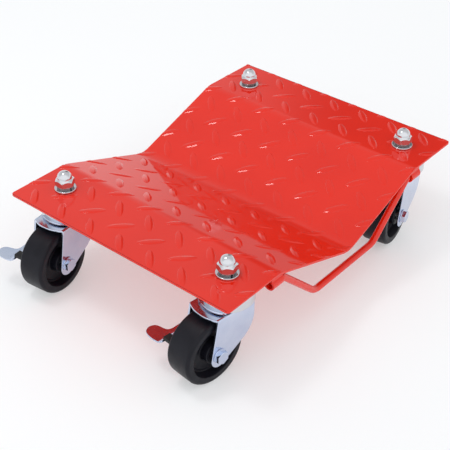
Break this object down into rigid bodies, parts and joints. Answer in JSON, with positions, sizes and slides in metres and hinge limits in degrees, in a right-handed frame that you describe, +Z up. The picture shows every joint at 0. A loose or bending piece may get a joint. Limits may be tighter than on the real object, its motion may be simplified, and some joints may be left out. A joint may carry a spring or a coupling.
{
  "type": "wheel dolly",
  "caption": "Low dolly on swivel casters: a V-bent tread-plate deck cradles a car tyre, each caster has a foot brake, and a drop handle hangs under one long side.",
  "frame": {"origin": "on the ground, under the centre of the deck", "axes": "+Z up, +Y along the deck, across its V bends, +X across the deck towards the drop handle"},
  "size_m": [0.3332, 0.4302, 0.135],
  "materials": {
    "red_powder_coat": "glossy red powder coat",
    "bright_zinc": "bright blue-white zinc plate",
    "chrome_plate": "polished nickel plate",
    "bearing_steel": "ground steel",
    "black_wheel": "satin black moulding",
    "black_rubber": "matt black rubber"
  },
  "bodies": {
    "deck": {"deck_plate": "red_powder_coat", "flat_washers": "chrome_plate", "lock_washers": "bearing_steel", "cap_nuts": "chrome_plate", "king_bolts": "bright_zinc", "lower_races": "bearing_steel", "handle_tube_front": "red_powder_coat", "handle_tube_rear": "red_powder_coat", "swivel_bell_front_left": "chrome_plate", "upper_race_front_left": "bearing_steel", "swivel_bell_front_right": "chrome_plate", "upper_race_front_right": "bearing_steel", "swivel_bell_rear_left": "chrome_plate", "upper_race_rear_left": "bearing_steel", "swivel_bell_rear_right": "chrome_plate", "upper_race_rear_right": "bearing_steel"},
    "caster_front_left": {"fork_front_left": "bright_zinc", "upper_balls_front_left": "bearing_steel", "lower_balls_front_left": "bearing_steel", "axle_bolt_front_left": "bright_zinc", "axle_nut_front_left": "bright_zinc", "wheel_bush_front_left": "bearing_steel", "brake_pin_front_left": "bright_zinc"},
    "rolling_wheel_front_left": {"wheel_front_left": "black_wheel"},
    "brake_front_left": {"brake_lever_front_left": "bright_zinc", "brake_pad_front_left": "black_rubber"},
    "caster_front_right": {"fork_front_right": "bright_zinc", "upper_balls_front_right": "bearing_steel", "lower_balls_front_right": "bearing_steel", "axle_bolt_front_right": "bright_zinc", "axle_nut_front_right": "bright_zinc", "wheel_bush_front_right": "bearing_steel", "brake_pin_front_right": "bright_zinc"},
    "rolling_wheel_front_right": {"wheel_front_right": "black_wheel"},
    "brake_front_right": {"brake_lever_front_right": "bright_zinc", "brake_pad_front_right": "black_rubber"},
    "caster_rear_left": {"fork_rear_left": "bright_zinc", "upper_balls_rear_left": "bearing_steel", "lower_balls_rear_left": "bearing_steel", "axle_bolt_rear_left": "bright_zinc", "axle_nut_rear_left": "bright_zinc", "wheel_bush_rear_left": "bearing_steel", "brake_pin_rear_left": "bright_zinc"},
    "rolling_wheel_rear_left": {"wheel_rear_left": "black_wheel"},
    "brake_rear_left": {"brake_lever_rear_left": "bright_zinc", "brake_pad_rear_left": "black_rubber"},
    "caster_rear_right": {"fork_rear_right": "bright_zinc", "upper_balls_rear_right": "bearing_steel", "lower_balls_rear_right": "bearing_steel", "axle_bolt_rear_right": "bright_zinc", "axle_nut_rear_right": "bright_zinc", "wheel_bush_rear_right": "bearing_steel", "brake_pin_rear_right": "bright_zinc"},
    "rolling_wheel_rear_right": {"wheel_rear_right": "black_wheel"},
    "brake_rear_right": {"brake_lever_rear_right": "bright_zinc", "brake_pad_rear_right": "black_rubber"},
    "handle": {"handle_bail": "red_powder_coat"}
  },
  "joints": [
    {"name": "swivel_front_left", "type": "hinge", "parent": "deck", "child": "caster_front_left", "pos_m": [-0.1142, -0.1586, 0.083], "axis": [0, 0, 1], "continuous": true},
    {"name": "swivel_front_right", "type": "hinge", "parent": "deck", "child": "caster_front_right", "pos_m": [0.1142, -0.1586, 0.083], "axis": [0, 0, 1], "continuous": true},
    {"name": "swivel_rear_left", "type": "hinge", "parent": "deck", "child": "caster_rear_left", "pos_m": [-0.1142, 0.1586, 0.083], "axis": [0, 0, 1], "continuous": true},
    {"name": "swivel_rear_right", "type": "hinge", "parent": "deck", "child": "caster_rear_right", "pos_m": [0.1142, 0.1586, 0.083], "axis": [0, 0, 1], "continuous": true},
    {"name": "wheel_spin_front_left", "type": "hinge", "parent": "caster_front_left", "child": "rolling_wheel_front_left", "pos_m": [-0.11112, -0.18794, 0.038], "axis": [0.9945, 0.1045, 0], "continuous": true},
    {"name": "wheel_spin_front_right", "type": "hinge", "parent": "caster_front_right", "child": "rolling_wheel_front_right", "pos_m": [0.11086, -0.18791, 0.038], "axis": [0.9936, -0.1132, 0], "continuous": true},
    {"name": "wheel_spin_rear_left", "type": "hinge", "parent": "caster_rear_left", "child": "rolling_wheel_rear_left", "pos_m": [-0.1178, 0.12932, 0.038], "axis": [0.9925, -0.1219, 0], "continuous": true},
    {"name": "wheel_spin_rear_right", "type": "hinge", "parent": "caster_rear_right", "child": "rolling_wheel_rear_right", "pos_m": [0.11907, 0.1295, 0.038], "axis": [0.9863, 0.165, 0], "continuous": true},
    {"name": "brake_press_front_left", "type": "hinge", "parent": "caster_front_left", "child": "brake_front_left", "pos_m": [-0.13807, -0.17639, 0.066], "axis": [0.1045, -0.9945, 0], "range_deg": [0, 8]},
    {"name": "brake_press_front_right", "type": "hinge", "parent": "caster_front_right", "child": "brake_front_right", "pos_m": [0.08704, -0.1708, 0.066], "axis": [-0.1132, -0.9936, 0], "range_deg": [0, 8]},
    {"name": "brake_press_rear_left", "type": "hinge", "parent": "caster_rear_left", "child": "brake_rear_left", "pos_m": [-0.14146, 0.14663, 0.066], "axis": [-0.1219, -0.9925, 0], "range_deg": [0, 8]},
    {"name": "brake_press_rear_right", "type": "hinge", "parent": "caster_rear_right", "child": "brake_rear_right", "pos_m": [0.09146, 0.13938, 0.066], "axis": [0.165, -0.9863, 0], "range_deg": [0, 8]},
    {"name": "handle_swing", "type": "hinge", "parent": "deck", "child": "handle", "pos_m": [0.148, 0, 0.102], "axis": [0, -1, 0], "range_deg": [-40, 70]}
  ]
}
